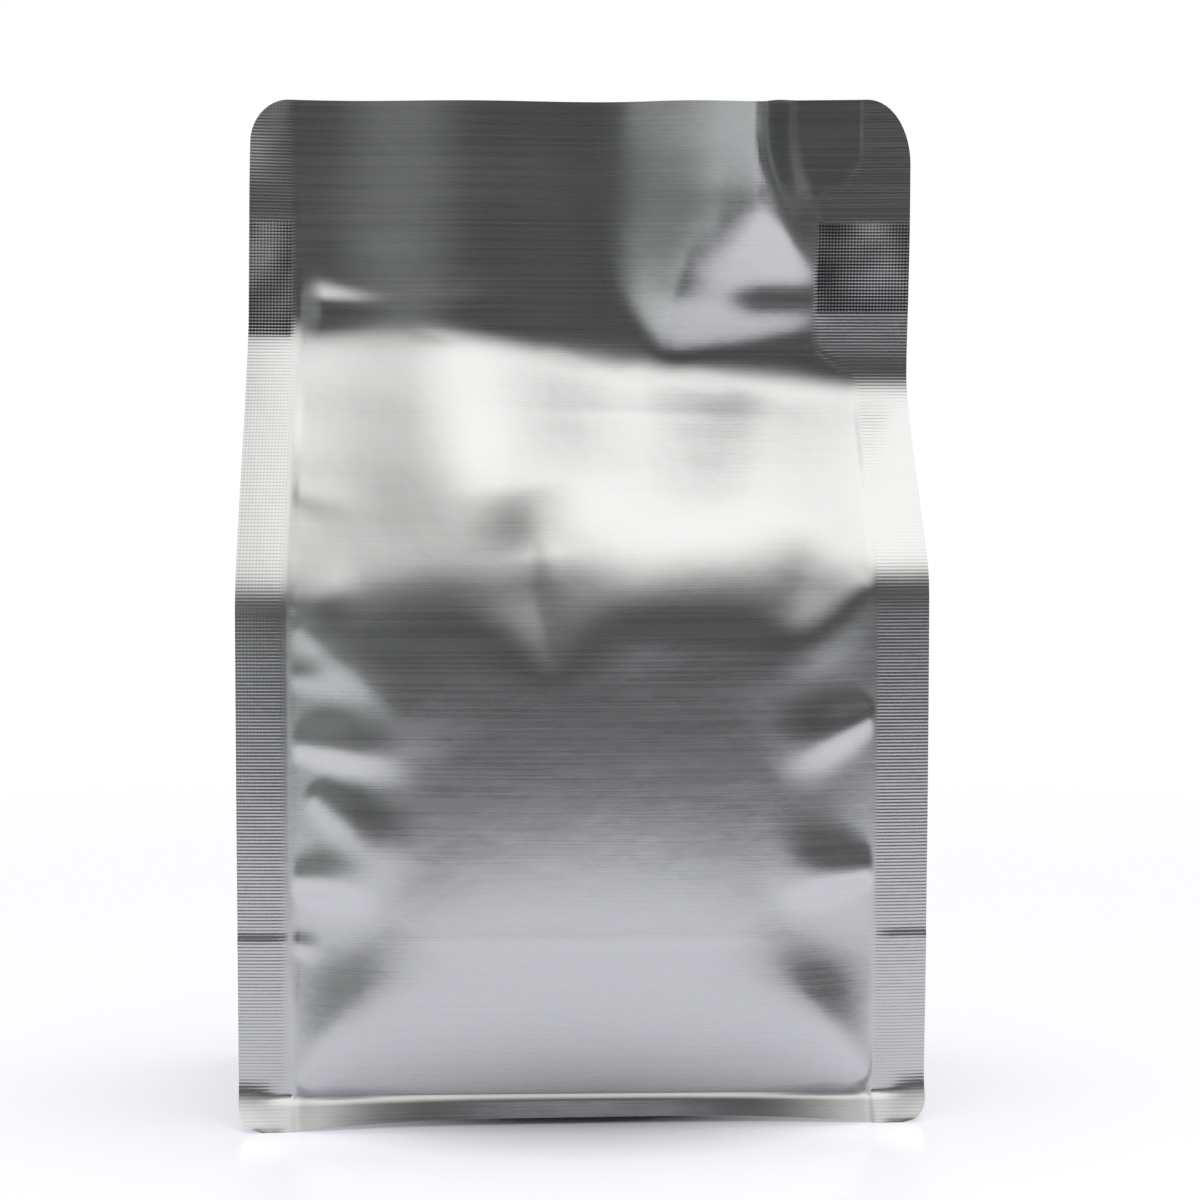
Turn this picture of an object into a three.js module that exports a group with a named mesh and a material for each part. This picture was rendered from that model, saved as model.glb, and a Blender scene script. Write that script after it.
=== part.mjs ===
// A flat bottom coffee bag of plain silver foil, standing shut and filled, as one solid.
// Millimetres, +Z up. The front panel faces -Y. The origin is on the floor, under the middle of the bag's box.

import * as THREE from 'three';

const { clamp, lerp, smoothstep, degToRad } = THREE.MathUtils;

// Overall sizes
const BAG_WIDTH = 140; // over the side seals
const BAG_HEIGHT = 211.5; // standing height
const BASE_DEPTH = 72; // from the front seals to the back seals at the base
const SHOULDER_DEPTH = 78; // and at the shoulder
const SEAL_WIDTH = 10.2; // of the four upright corner fins
const FILM = 0.5; // two films pressed together in a seal

// Side profile: a wall that leans out, a sloping roof and a flat pressed top
const SHOULDER_Z = 116.5;
const SHOULDER_ROUND = 4.4;
const SHOULDER_SAG_LEFT = { from: 14, to: 58, drop: 8 }; // the shoulder is lower beside the seals
const SHOULDER_SAG_RIGHT = { from: 34, to: 60, drop: 4 };
const SHOULDER_SHARPER = 2.4; // and turns more sharply there
const NECK_Z = 162.8;
const NECK_DROP = 8.9; // the neck is level on the left, drops in the middle, then falls evenly to the right
const NECK_DROP_FROM = -36;
const NECK_DROP_TO = 14;
const NECK_FALL = 0.075;
const NECK_ROUND = 1.9;
const NECK_DEPTH = 3.8;
const TOP_DEPTH = 1.4;
const TOP_THINS = [165, 205]; // heights between which the pressed top thins out

// How far the panels swell past the seals
const BELLY = 7;
const BELLY_POWER = 2.2; // how square the swelling is across the panel
const FOOT_HEIGHT = 86; // height over which it grows from the crease
const FOOT_POWER = 2.8;
const FOOT_ROUND = 1.2;
const ROOF_SWELL = 3.2;
const ROOF_CHANGES = [98, 132]; // heights between which the wall's swelling turns into the roof's
const TOP_SWELL = 1.2;
const TOP_CHANGES = [138, 168]; // and the roof's into the pressed top's
const TOP_FLATTENS = [185, 208];
const GUSSET_SWELL = 4.5;
const GUSSET_SWELL_GROWS = [-8, 45];
const GUSSET_SWELL_ENDS = [70, 104];
const GUSSET_VALLEY = 33; // how deep the side gussets fold in under the roof
const GUSSET_FOLDS_IN = [88, 164];
const GUSSET_CLOSES = [156, 178]; // heights between which the gusset's layers come to lie pressed together
const FIN_SPLAY = 0.6; // how far the fins' free edges lean back from the panel

// Base: a sealed skirt that flares out and down from a crease, round a flat base panel
const CREASE_Z = 6;
const CREASE_TILT = 0.006; // the crease runs lower to the right
const CREASE_FADES = 40; // height over which the levels lose this tilt
const CREASE_BULGE = 1.4; // the panel stands out just above the crease
const CREASE_BULGE_GROWS = 3.5;
const CREASE_BULGE_ENDS = [40, 100];
const CREASE_BULGE_SIDE = 14;
const SKIRT_LIP = 0.45;
const SKIRT_LIP_SHARE = 0.2;
const SKIRT_FLARE = 0.6;
const SKIRT_FLARE_LEFT = 6.2;
const SKIRT_FLARE_RIGHT = 5.6;
const SKIRT_FLARE_SIDE = 1.6;
const FIN_FOOT_Z = 10; // height at which the fins begin to flare
const FIN_FOOT_POWER = 1.6;
const SKIRT_LIFT = 1.4; // how far the skirt's edge clears the floor between the corners
const SKIRT_CORNER = 5;
const GROOVE_Z = 3.4;
const GROOVE_INSET = 7;
const BASE_INSET = 9;

// Free top edge
const TOP_CORNER_LEFT = { width: 8, height: 9 };
const TOP_CORNER_RIGHT = { width: 9.4, height: 14 };
const TOP_CORNER_HEIGHT = Math.max(TOP_CORNER_LEFT.height, TOP_CORNER_RIGHT.height);
const TOP_DIP = 0.8; // the edge sags between the corners
const TOP_DIP_FROM = 170;
const TOP_BOW = 1.5; // and bows forward
const TOP_BOW_FROM = 160;
const TOP_WAVE = 3.6; // the left half waves forward
const TOP_WAVE_LENGTH = 60;
const TOP_WAVE_CREST = -22;
const TOP_WAVE_GROWS = [142, 170];
const LEFT_CURL = 2; // the left edge curls back
const LEFT_CURL_X = 60;
const LEFT_CURL_Z = 192;
const BENT_DIP = 0.007; // how much lower the edge is where it is bent forward, for each square millimetre

// The right of the pressed top is bent forward in two facets above a beak at the neck, with a lens between
const BEAK_X = 22;
const BEAK_Z = 157;
const BEAK_SLANT = 0.22;
const BEAK_LENGTH = 30;
const LENS_LOW = 166.6;
const LENS_HIGH = 171.8;
const LENS_TAPER = 2.6;
const LENS_TIP = [28, 39];
const FACET_ROUND = 1.2;
const LOW_FACET = 0.38; // slope
const LOW_FACET_TIP = 0.9; // share of this slope at the beak
const LOW_FACET_LEFT = 8; // how far left of the beak it starts
const LOW_FACET_SPREAD = 0.55; // and how much further for each millimetre up
const LOW_FACET_FULL = -3; // how far right of the beak it is full
const LOW_FACET_SHIFT = 6; // and how much further higher up
const LOW_FACET_SHIFTS = [166, 200];
const LOW_FLAT = 4.2; // what is left of its height at the top
const LOW_FLATTENS = [175, 208];
const LOW_FACET_ROUND = 0.3;
const HIGH_FACET = 0.34; // slope
const HIGH_FACET_FROM = 13;
const HIGH_FACET_TO = 40;
const HIGH_FACET_SHIFT = 8; // how much further left it lies at the lens
const HIGH_FACET_SHIFTS = [171, 195];
const HIGH_FACET_TOP = 189;
const HIGH_FACET_EDGE = { x: 49.5, z: 176.1, slope: -1.1 }; // a place on its slanting right edge
const HIGH_FACET_ROUND = 0.15;
const STREAK_SLOPE = 0.13; // of the band that runs on from the high facet to the top edge
const RIGHT_LEAN = 0.13; // slope by which all of the right leans forward above the lens
const RIGHT_LEAN_FROM = 173;
const RIGHT_LEAN_GROWS = [8, 30];
const SEAL_FORWARD = 3.4; // how far the stiff right seal is bent
const SEAL_FORWARD_GROWS = [149, 191];
const SEAL_STIFF = [45, 55];
const SEAL_STIFF_SHIFT = 9; // how much further left the stiff seal reaches at the top
const SEAL_STIFF_SHIFTS = [174, 206];

// A wide pressed field beside the top right fin
const WIDE_SEAL = 9.3;
const WIDE_SEAL_LOW = [151, 159.5];
const WIDE_SEAL_HIGH = [190, 198.6];
const WIDE_SEAL_EDGE = [-0.9, 0.1];

// The filled bag stands a little twisted and leans to the right
const BASE_YAW = degToRad(2.9);
const LEAN = 1.6;

// How finely the surface is split
const FRONT_STEPS = 32;
const BACK_STEPS = 32;
const GUSSET_STEPS = 12;
const FIN_STEPS = 2;
const SKIRT_STEPS = 3;
const BODY_STEPS = 43;
const CORNER_STEPS = 5;

const HALF_WIDTH = BAG_WIDTH / 2;
const ROOT_X = HALF_WIDTH - SEAL_WIDTH;
const SEAL_HOLD = 2.2; // folds flatten out this close to a seal
const STEEPEST = Math.exp(-0.5); // the steepest slope of a rounded fold of unit height and half width

// Zero below nought and the value above it, with a rounded turn
const ramp = (value, round) => round * Math.log1p(Math.exp(value / round));

// The lesser of two values, with a rounded turn between them
const softMin = (a, b, round) => 0.5 * (a + b - Math.hypot(a - b, round));

// A fold that starts as a point at a seal and widens inwards, with a crest and a flank above and below it
function pleat(from, to, above, below, slope, peak = 0.1) {
  return { kind: 'pleat', from, to, above: [0.6, above], below: [0.6, below], slope, peak, fade: 0.25 };
}

// A fold that is widest at a seal and narrows inwards
function wedge(from, to, above, below, slope) {
  return { kind: 'pleat', from, to, above, below, slope, peak: 0.25, fade: 0.25 };
}

// A crest, or with a negative rise a crease, that dies away at both ends and is rounded by a share of its width
function ridge(from, to, half, rise, peak = 0.5, crest = 0.5, fade = 0.5) {
  return { kind: 'ridge', from, to, above: half, below: half, rise, peak, crest, fade };
}

// A round swelling, or with a negative rise a dent
function bump(place, half, rise) {
  return { kind: 'bump', place, half, rise };
}

// Folds of the front panel, as [x, z] on the panel
const FRONT_FOLDS = [
  // left pleats, from the shoulder down
  pleat([-60, 105], [-24, 76], 11, 6, 0.12),
  pleat([-60, 105.5], [-44, 112], 3.5, 4, 0.2),
  pleat([-60, 92], [-46, 91.5], 3, 3, 0.12),
  pleat([-60, 78.5], [-30, 76], 6.5, 4, 0.2),
  pleat([-56, 70], [-34, 51], 5.5, 4.5, 0.18),
  pleat([-60, 51], [-38, 50], 6, 4.2, 0.22),
  pleat([-60, 38], [-52, 36], 2.2, 1.6, 0.16),
  // right pleats
  pleat([60, 112], [30, 83], 6, 7, 0.16),
  pleat([60, 84.5], [36, 73.5], 6.5, 4, 0.22),
  pleat([60, 52], [36, 49.5], 7.5, 3.5, 0.24),
  // fans that rise from the two bottom corners, with a dent above each
  pleat([-60, 6], [-35, 42], 6.5, 14, 0.28),
  pleat([60, 6], [32, 42], 7.5, 14, 0.3),
  bump([-52, 38], [8, 9], -1.2),
  bump([50, 37], [9, 9], -1.2),
  // shoulder: a swelling, a dart pressed in beside it with a pinched crest inside, and a dart on the right
  bump([-24, 135], [14, 12], 4.6),
  ridge([-11, 131], [-6, 90], [9, 2.5], -5, 0.36, 0.8),
  ridge([-9, 129], [-5.5, 93], [5, 2.5], 2.2, 0.4, 0.6),
  bump([11, 106], [6, 7], 0.5),
  ridge([48, 124], [41, 99], [6, 3.5], -1.5, 0.45, 1),
  pleat([-60, 128.5], [-42, 126], 3, 3, 0.16),
  bump([-47, 143], [11, 5], -0.8),
  // soft dents and swellings of the roof
  bump([28, 138], [24, 9], -1.7),
  bump([43, 136], [9, 7], 0.5),
  bump([4, 140], [8, 7], -0.6),
  bump([-26, 148], [10, 6], 0.7),
  // pressed top, beside the left seal
  wedge([-60, 168.6], [-36, 167.4], [3.2, 1.2], [5, 4], 0.42),
  bump([-44, 184], [9, 4], 0.3),
  bump([-32, 166], [14, 5], 0.9),
];

// Uneven pleats up both seals of the back, a fan from each bottom corner and darts in the shoulder
const BACK_PLEATS = 4;
const BACK_PLEAT_LOW = 45;
const BACK_PLEAT_STEP = 16;
const BACK_PLEAT_LENGTH = 24;
const BACK_PLEAT_DROP = 4;
const BACK_PLEAT_SLOPE = 0.16;

function backFolds() {
  const folds = [
    ridge([14, 130], [11, 92], [9, 3.5], -3.2, 0.45, 1),
    ridge([13.5, 126], [11, 96], [3, 1.5], 1.2),
    ridge([-38, 124], [-33, 100], [7, 4], -1.8, 0.4, 1),
  ];
  for (const side of [-1, 1]) {
    const seal = side * ROOT_X;
    for (let step = 0; step < BACK_PLEATS; step++) {
      const phase = 2.4 * step + 1.3 * side;
      const z = BACK_PLEAT_LOW + step * BACK_PLEAT_STEP + 3 * side + 5 * Math.sin(phase);
      const length = BACK_PLEAT_LENGTH + 7 * Math.cos(1.7 * phase);
      const drop = BACK_PLEAT_DROP + 3 * Math.cos(phase);
      const slope = BACK_PLEAT_SLOPE + 0.07 * Math.sin(2.1 * phase);
      folds.push(pleat([seal, z], [seal - side * length, z - drop], 5.5, 4, slope));
    }
    folds.push(pleat([seal, 6], [seal - side * 29, 42], 8, 14, 0.24));
    folds.push(bump([side * 51, 38], [9, 9], -1.2));
  }
  return folds;
}

const PANEL_FOLDS = { front: FRONT_FOLDS, back: backFolds() };

// Folds of a side gusset, as [distance from its middle, z]
const GUSSET_FOLDS = [
  // the crease down the middle, from when the bag was flat, and a dart where the gusset turns in
  ridge([0, 150], [0, 2], [1.4, 1.4], -0.8, 0.35),
  ridge([3, 122], [1, 84], [7, 3], -1.6, 0.5, 1),
  // pleats and fans from the front and back seals
  pleat([36, 92], [14, 86], 4.5, 4, 0.14),
  pleat([36, 68], [18, 66], 4, 3, 0.13),
  pleat([36, 8], [14, 34], 6, 9, 0.18),
  pleat([-36, 98], [-12, 84], 5, 4.5, 0.15),
  pleat([-36, 76], [-20, 72], 4, 3, 0.14),
  pleat([-36, 50], [-18, 49], 4, 3, 0.12),
  pleat([-36, 8], [-16, 36], 6, 9, 0.18),
];

// Height of one fold at a place on a panel
function foldHeight(fold, x, z) {
  if (fold.kind === 'bump') {
    const away = ((x - fold.place[0]) / fold.half[0]) ** 2 + ((z - fold.place[1]) / fold.half[1]) ** 2;
    return fold.rise * Math.exp(-0.5 * away);
  }
  const along = [fold.to[0] - fold.from[0], fold.to[1] - fold.from[1]];
  const offset = [x - fold.from[0], z - fold.from[1]];
  const length = Math.hypot(...along);
  const share = (offset[0] * along[0] + offset[1] * along[1]) / length ** 2;
  const above = ((offset[1] * along[0] - offset[0] * along[1]) / length) * Math.sign(along[0]);
  const reach = clamp(share, 0, 1);
  const grown = fold.kind === 'pleat' ? Math.sqrt(reach) : reach;
  const upper = lerp(...fold.above, grown);
  const half = above > 0 ? upper : lerp(...fold.below, grown);
  const ends = smoothstep(share, 0, fold.peak) * (1 - smoothstep(share, fold.fade, 1));
  if (fold.kind === 'pleat') {
    const rise = (fold.slope * upper) / STEEPEST;
    return rise * ends * Math.exp(-0.5 * (above / half) ** 2);
  }
  const crest = fold.crest * upper;
  return fold.rise * ends * Math.exp(-(Math.hypot(above, crest) - crest) / half);
}

const foldsAt = (folds, x, z) => folds.reduce((sum, fold) => sum + foldHeight(fold, x, z), 0);

// Height of the fold between the sloping roof and the pressed top
function neckZ(x) {
  const drop = NECK_DROP * smoothstep(x, NECK_DROP_FROM, NECK_DROP_TO);
  return NECK_Z - drop - NECK_FALL * Math.max(x - NECK_DROP_TO, 0);
}

const creaseZ = (x) => CREASE_Z - CREASE_TILT * x;

// Half the depth between the front and back seals
function halfDepth(x, z) {
  const neck = neckZ(x);
  const left = smoothstep(-x, SHOULDER_SAG_LEFT.from, SHOULDER_SAG_LEFT.to);
  const right = smoothstep(x, SHOULDER_SAG_RIGHT.from, SHOULDER_SAG_RIGHT.to);
  const shoulder = SHOULDER_Z - SHOULDER_SAG_LEFT.drop * left - SHOULDER_SAG_RIGHT.drop * right;
  const turn = SHOULDER_ROUND - SHOULDER_SHARPER * (left + right);
  const slope = (SHOULDER_DEPTH - NECK_DEPTH) / (neck - shoulder);
  const foot = clamp(1 - (z - CREASE_Z) / FOOT_HEIGHT, 0, 1);
  const wall = SHOULDER_DEPTH - (SHOULDER_DEPTH - BASE_DEPTH) * foot ** 2;
  const roof = slope * (ramp(z - shoulder, turn) - ramp(z - neck, NECK_ROUND));
  const pressed = (NECK_DEPTH - TOP_DEPTH) * smoothstep(z, ...TOP_THINS);
  return (wall - roof - pressed) / 2;
}

// How far the panel stands proud of its seals: a pillow that swells from the side seals and from the crease
function crown(x, z) {
  const side = BELLY * (1 - Math.abs(x / ROOT_X) ** BELLY_POWER);
  const foot = BELLY * (1 - clamp(1 - (z - creaseZ(x)) / FOOT_HEIGHT, 0, 1) ** FOOT_POWER);
  const pillow = softMin(side, foot, FOOT_ROUND * smoothstep(ROOT_X - Math.abs(x), 0, SEAL_HOLD));
  const roof = lerp(1, ROOF_SWELL / BELLY, smoothstep(z, ...ROOF_CHANGES));
  const top = lerp(TOP_SWELL / BELLY, 0.02, smoothstep(z, ...TOP_FLATTENS));
  return pillow * lerp(roof, top, smoothstep(z, ...TOP_CHANGES));
}

// One on the pressed field beside the top right fin, and nought elsewhere
function wideSeal(x, z) {
  const reach = WIDE_SEAL * smoothstep(z, ...WIDE_SEAL_LOW) * (1 - smoothstep(z, ...WIDE_SEAL_HIGH));
  return smoothstep(x - (ROOT_X - reach), ...WIDE_SEAL_EDGE);
}

// Distance of the front or back panel from the bag's middle plane
function panelDepth(panel, x, z) {
  const inside = ROOT_X - Math.abs(x);
  const held = smoothstep(inside, 0, SEAL_HOLD);
  const grown = 1 - Math.exp(-Math.max(z - creaseZ(x), 0) / CREASE_BULGE_GROWS);
  const bulge = CREASE_BULGE * grown * (1 - smoothstep(z, ...CREASE_BULGE_ENDS));
  const folds = held * foldsAt(PANEL_FOLDS[panel], x, z);
  const swell = crown(x, z) + folds + smoothstep(inside, 0, CREASE_BULGE_SIDE) * bulge;
  const pressed = panel === 'front' ? wideSeal(x, z) : 0;
  return halfDepth(x, z) + swell * (1 - pressed);
}

// Sideways place of a gusset: swollen by the contents below, folded in under the roof, creased down its middle
function gussetOut(side, share, z) {
  const place = Math.abs(share);
  const full = smoothstep(z, ...GUSSET_SWELL_GROWS) * (1 - smoothstep(z, ...GUSSET_SWELL_ENDS));
  const out = GUSSET_SWELL * full * (1 - place ** 2);
  const inwards = smoothstep(z, ...GUSSET_FOLDS_IN) * (1 - smoothstep(z, ...GUSSET_CLOSES));
  const fold = GUSSET_VALLEY * inwards * (1 - place ** 3);
  const folds = foldsAt(GUSSET_FOLDS, (side * share * BASE_DEPTH) / 2, z);
  return out - fold + folds * smoothstep(1 - place, 0, 0.08);
}

// Height climbed between two levels, with rounded turns
const facet = (z, low, high) => ramp(z - low, FACET_ROUND) - ramp(z - high, FACET_ROUND);

// How far the right of the pressed top is bent forward by its two facets, and evenly at the stiff seal
function topFold(x, z) {
  const up = Math.max(z - BEAK_Z, 0);
  const start = BEAK_Z + BEAK_SLANT * clamp(x - BEAK_X, 0, BEAK_LENGTH);
  const right = smoothstep(x, ...LENS_TIP);
  const taper = LENS_TAPER * (1 - right);

  const near = BEAK_X - LOW_FACET_LEFT - LOW_FACET_SPREAD * up;
  const far = BEAK_X + LOW_FACET_FULL + LOW_FACET_SHIFT * smoothstep(z, ...LOW_FACET_SHIFTS);
  const climbed = LOW_FACET * lerp(LOW_FACET_TIP, 1, right) * facet(z, start, LENS_LOW + taper);
  const lowShare = clamp((x - near) / (far - near), 0, 1.5);
  const kept = lerp(climbed, LOW_FLAT, smoothstep(z, ...LOW_FLATTENS));
  const low = kept * softMin(lowShare ** 2, 1, LOW_FACET_ROUND);

  const { x: edgeX, z: edgeZ, slope } = HIGH_FACET_EDGE;
  const end = clamp(edgeZ + slope * (x - edgeX), edgeZ, HIGH_FACET_TOP);
  const streak = STREAK_SLOPE * ramp(z - HIGH_FACET_TOP, FACET_ROUND);
  const rise = HIGH_FACET * facet(z, LENS_HIGH - taper, end) + streak;
  const first = HIGH_FACET_FROM - HIGH_FACET_SHIFT * (1 - smoothstep(z, ...HIGH_FACET_SHIFTS));
  const highShare = clamp((x - first) / (HIGH_FACET_TO - HIGH_FACET_FROM), 0, 1.5);
  const lean = RIGHT_LEAN * ramp(z - RIGHT_LEAN_FROM, FACET_ROUND) * smoothstep(x, ...RIGHT_LEAN_GROWS);
  const high = rise * softMin(highShare ** 2, 1, HIGH_FACET_ROUND) + lean;

  const stiff = smoothstep(x + SEAL_STIFF_SHIFT * smoothstep(z, ...SEAL_STIFF_SHIFTS), ...SEAL_STIFF);
  return lerp(low + high, SEAL_FORWARD * smoothstep(z, ...SEAL_FORWARD_GROWS), stiff);
}

// How far the pressed top stands behind the middle plane
function topShift(x, z) {
  const bow = -TOP_BOW * (1 - (x / HALF_WIDTH) ** 2) * smoothstep(z, TOP_BOW_FROM, BAG_HEIGHT);
  const phase = Math.min((x - TOP_WAVE_CREST) / TOP_WAVE_LENGTH, 0.5);
  const wave = -TOP_WAVE * 0.5 * (1 + Math.cos(phase * 2 * Math.PI)) * smoothstep(z, ...TOP_WAVE_GROWS);
  const curl = LEFT_CURL * smoothstep(-x, LEFT_CURL_X, HALF_WIDTH) * smoothstep(z, LEFT_CURL_Z, BAG_HEIGHT);
  return bow + wave - topFold(x, z) + curl;
}

// How much a fin is cut back by the rounded corner at its foot or its head
function cornerCut(side, above, below) {
  const { width, height } = side < 0 ? TOP_CORNER_LEFT : TOP_CORNER_RIGHT;
  const foot = clamp(1 - above / SKIRT_CORNER, 0, 1);
  const head = clamp(1 - below / height, 0, 1);
  const footCut = SKIRT_CORNER * (1 - Math.sqrt(1 - foot ** 2));
  const headCut = width * (1 - Math.sqrt(1 - head ** 2));
  return Math.max(footCut, headCut);
}

// The skirt's flare at a place along the front or back
function flareAt(x) {
  const corner = x < 0 ? SKIRT_FLARE_LEFT : SKIRT_FLARE_RIGHT;
  return lerp(SKIRT_FLARE, corner, Math.abs(x / HALF_WIDTH) ** 3);
}

// How far the skirt stands out: a small lip just under the crease, then evenly to its edge
const skirtOut = (x, down) => SKIRT_LIP * smoothstep(down, 0, SKIRT_LIP_SHARE) + flareAt(x) * down;

// Height of a point part way down the skirt; share runs from the middle of that side to its ends
function skirtZ(x, share, down) {
  const edge = SKIRT_LIFT * (1 - Math.min(1, Math.abs(share)) ** 4);
  return lerp(creaseZ(x), edge, down);
}

// Height of a point: on the skirt below the crease, or at the level's own height above it
function levelZ(x, share, level) {
  if (level.down > 0) return skirtZ(x, share, level.down);
  const tilt = clamp(1 - (level.z - CREASE_Z) / CREASE_FADES, 0, 1);
  return level.z + (creaseZ(x) - CREASE_Z) * tilt;
}

// Sets a point of the straight bag where it is on the standing one, leaning, twisted and with its top bent
function settle(x, y, z) {
  const rise = clamp(z / BAG_HEIGHT, 0, 1);
  const turn = BASE_YAW * (1 - rise);
  const bent = y + topShift(x, z);
  const sag = TOP_DIP * (1 - (x / HALF_WIDTH) ** 2) * smoothstep(z, TOP_DIP_FROM, BAG_HEIGHT);
  const dip = sag + BENT_DIP * topFold(x, z) ** 2;
  return new THREE.Vector3(
    x * Math.cos(turn) - bent * Math.sin(turn) + LEAN * rise,
    x * Math.sin(turn) + bent * Math.cos(turn),
    z - dip,
  );
}

// A point on the front (facing -1) or back (facing 1) panel
function panelPoint(facing, x, level) {
  const panel = facing < 0 ? 'front' : 'back';
  const z = levelZ(x, x / ROOT_X, level);
  const depth = panelDepth(panel, x, Math.max(z, creaseZ(x))) + skirtOut(x, level.down);
  return settle(x, facing * depth, z);
}

// A point on a fin's outer or inner face; share runs from its root to its free edge
function finPoint(facing, side, share, inner, level) {
  const root = side * ROOT_X;
  const z = levelZ(root, 1, level);
  const width = SEAL_WIDTH - cornerCut(side, z, BAG_HEIGHT - z);
  const splay = FIN_SPLAY * share ** 2 * smoothstep(halfDepth(root, z), 2, 14);
  const x = side * (ROOT_X + share * width);
  const flared = flareAt(x) * clamp(1 - z / FIN_FOOT_Z, 0, 1) ** FIN_FOOT_POWER;
  const foot = lerp(skirtOut(x, level.down), flared, smoothstep(share, 0, 0.6));
  const depth = halfDepth(root, z) + foot - splay - (inner ? FILM : 0);
  return settle(x, facing * depth, z);
}

// A point on a side gusset; share runs from -1 at the front fin to 1 at the back fin
function gussetPoint(side, share, level) {
  const edge = smoothstep(Math.abs(share), 0.7, 1);
  const root = side * ROOT_X;
  const z = levelZ(root, share, level);
  const depth = share * (halfDepth(root, z) + skirtOut(root, level.down) * edge - FILM);
  const x = side * (ROOT_X + gussetOut(side, share, z) + SKIRT_FLARE_SIDE * level.down * (1 - edge));
  return settle(x, depth, z);
}

// Evenly spaced shares from one step to another
function shares(steps, first, last) {
  return Array.from({ length: last - first + 1 }, (_, i) => (i + first) / steps);
}

// Places across a panel towards one side, closer together near the seals
function panelPlaces(side, steps) {
  return shares(steps, 0, steps).map((s) => {
    const share = lerp(-side, side, s);
    return ROOT_X * (1.3 * share - 0.3 * share ** 3);
  });
}

// One closed outline round the bag, anticlockwise from above: front, right fin, gusset, fin, back, and so on
function outline(level) {
  const finShares = shares(FIN_STEPS, 1, FIN_STEPS);
  const points = [];
  const addFin = (facing, side, outerFirst) => {
    const out = finShares.map((s) => finPoint(facing, side, s, !outerFirst, level));
    const back = finShares.map((s) => finPoint(facing, side, s, outerFirst, level)).reverse();
    points.push(...out, ...back);
  };
  const addSide = (facing, side, steps) => {
    points.push(...panelPlaces(side, steps).map((x) => panelPoint(facing, x, level)));
    addFin(facing, side, true);
    const gusset = shares(GUSSET_STEPS, 0, GUSSET_STEPS).map((s) => facing * (1 - 2 * s));
    points.push(...gusset.map((share) => gussetPoint(side, share, level)));
    addFin(-facing, side, false);
  };
  addSide(-1, 1, FRONT_STEPS);
  addSide(1, -1, BACK_STEPS);
  return points;
}

// The levels of the outlines, from the skirt's edge ("down" is 1) and the crease up to the free top edge
function levels() {
  const skirt = shares(SKIRT_STEPS, 0, SKIRT_STEPS - 1).map((s) => ({ z: 0, down: 1 - s }));
  const headFoot = BAG_HEIGHT - TOP_CORNER_HEIGHT;
  const body = shares(BODY_STEPS, 0, BODY_STEPS).map((s) => ({ z: lerp(CREASE_Z, headFoot, s), down: 0 }));
  const head = shares(CORNER_STEPS, 1, CORNER_STEPS).map((s) => ({
    z: headFoot + TOP_CORNER_HEIGHT * Math.sin((s * Math.PI) / 2),
    down: 0,
  }));
  return [...skirt, ...body, ...head];
}

// A loop under the bag, inside the skirt: the panels' and gussets' lines moved in, without the fins
function baseLoop(inset, height, down) {
  const points = [];
  const addSide = (facing, side, steps) => {
    for (const x of panelPlaces(side, steps)) {
      const depth = panelDepth(facing < 0 ? 'front' : 'back', x, creaseZ(x)) + skirtOut(x, down) - inset;
      const lift = down > 0 ? skirtZ(x, x / ROOT_X, down) : height;
      points.push(settle((x * (ROOT_X - inset - FILM)) / ROOT_X, facing * depth, lift));
    }
    const root = side * ROOT_X;
    for (const s of shares(GUSSET_STEPS, 0, GUSSET_STEPS)) {
      const share = facing * (1 - 2 * s);
      const edge = smoothstep(Math.abs(share), 0.7, 1);
      const z = down > 0 ? skirtZ(root, share, down) : CREASE_Z;
      const reach = halfDepth(root, z) + skirtOut(root, down) * edge - inset - 2 * FILM;
      const x = ROOT_X + gussetOut(side, share, z) + SKIRT_FLARE_SIDE * down * (1 - edge) - inset;
      points.push(settle(side * x, share * reach, down > 0 ? z : height));
    }
  };
  addSide(-1, 1, FRONT_STEPS);
  addSide(1, -1, BACK_STEPS);
  return points;
}

const flat = (points) => points.map((p) => new THREE.Vector2(p.x, p.y));

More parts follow.
